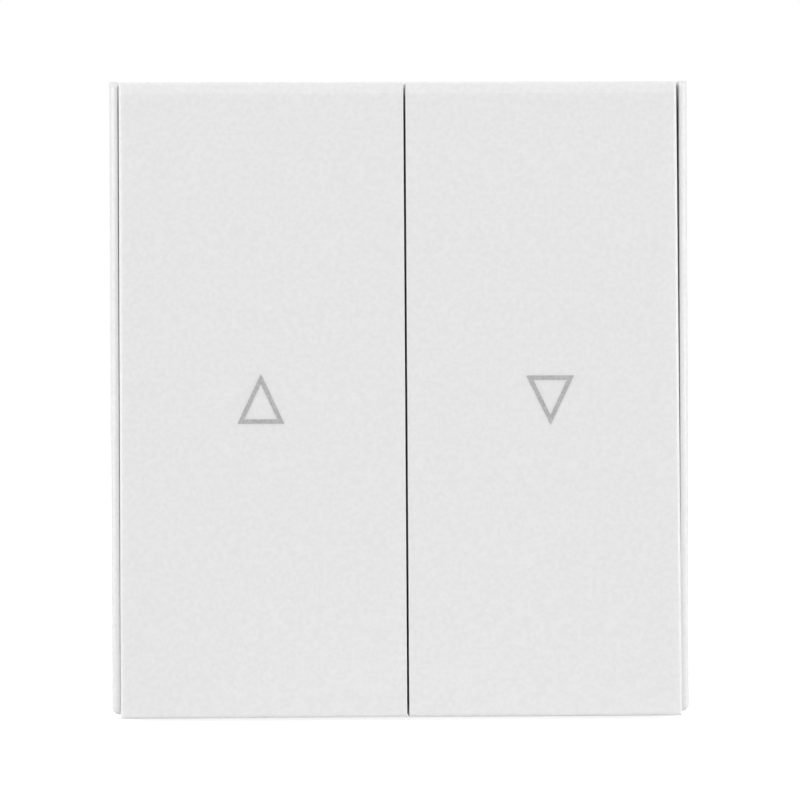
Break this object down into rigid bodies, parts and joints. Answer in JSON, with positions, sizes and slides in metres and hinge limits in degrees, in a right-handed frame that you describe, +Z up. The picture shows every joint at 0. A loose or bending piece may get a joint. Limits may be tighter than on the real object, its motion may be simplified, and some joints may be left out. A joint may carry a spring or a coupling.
{
  "type": "roller shutter switch",
  "caption": "Modular insert for a roller shutter: a rocker for up and a rocker for down in a slim white frame, with latching see-saw contacts and screw terminals behind.",
  "frame": {"origin": "middle of the plane at the back of the front frame, which lies against the support frame", "axes": "+Y into the wall, +Z up, +X to the right as seen from the room"},
  "size_m": [0.045, 0.0367, 0.0497],
  "materials": {
    "white_polycarbonate": "satin white moulding with a faint orange peel",
    "grey_polyamide": "light grey glass-filled polyamide, matt",
    "natural_acetal": "natural off-white acetal, waxy",
    "tinned_brass": "stamped brass strip",
    "contact_silver": "fine silver contact rivets, bright",
    "zinc_plated_steel": "zinc-plated steel"
  },
  "bodies": {
    "base": {"front_frame": "white_polycarbonate", "housing": "grey_polyamide", "common_contact": "tinned_brass", "link_strip": "tinned_brass", "up_working_contact": "tinned_brass", "down_working_contact": "tinned_brass", "up_fixed_rivet": "contact_silver", "rest_fixed_rivet": "contact_silver", "down_fixed_rivet": "contact_silver", "up_terminal_screw": "zinc_plated_steel", "down_terminal_screw": "zinc_plated_steel", "feed_terminal_screw": "zinc_plated_steel", "up_terminal_clamp": "zinc_plated_steel", "down_terminal_clamp": "zinc_plated_steel", "feed_terminal_clamp": "zinc_plated_steel"},
    "rocker_up": {"rocker_up": "white_polycarbonate", "up_spring": "zinc_plated_steel"},
    "rocker_down": {"rocker_down": "white_polycarbonate", "down_spring": "zinc_plated_steel"},
    "plunger_up": {"up_plunger": "natural_acetal"},
    "plunger_down": {"down_plunger": "natural_acetal"},
    "seesaw_up": {"up_seesaw": "tinned_brass", "up_seesaw_working_rivet": "contact_silver", "up_seesaw_rest_rivet": "contact_silver"},
    "seesaw_down": {"down_seesaw": "tinned_brass", "down_seesaw_working_rivet": "contact_silver"}
  },
  "joints": [
    {"name": "rocker_up_tilt", "type": "hinge", "parent": "base", "child": "rocker_up", "pos_m": [-0.01125, -0.0046, 0], "axis": [1, 0, 0], "range_deg": [0, 7]},
    {"name": "seesaw_up_tilt", "type": "hinge", "parent": "base", "child": "seesaw_up", "pos_m": [-0.01125, 0.0095, 0], "axis": [1, 0, 0], "range_deg": [-12, 0]},
    {"name": "plunger_up_slide", "type": "slide", "parent": "rocker_up", "child": "plunger_up", "axis": [0, -0.9981, 0.061], "range_m": [0, 0.0005], "stiffness_N_per_m": 400, "deforming": ["up_spring"]},
    {"name": "rocker_down_tilt", "type": "hinge", "parent": "base", "child": "rocker_down", "pos_m": [0.01125, -0.0046, 0], "axis": [1, 0, 0], "range_deg": [0, 7]},
    {"name": "seesaw_down_tilt", "type": "hinge", "parent": "base", "child": "seesaw_down", "pos_m": [0.01125, 0.0095, 0], "axis": [1, 0, 0], "range_deg": [-12, 0]},
    {"name": "plunger_down_slide", "type": "slide", "parent": "rocker_down", "child": "plunger_down", "axis": [0, -0.9981, 0.061], "range_m": [0, 0.0005], "stiffness_N_per_m": 400, "deforming": ["down_spring"]}
  ],
  "couplings": [
    {"joint": "seesaw_up_tilt", "follows": "rocker_up_tilt", "ratio": -1.7142},
    {"joint": "seesaw_down_tilt", "follows": "rocker_down_tilt", "ratio": -1.7142}
  ]
}
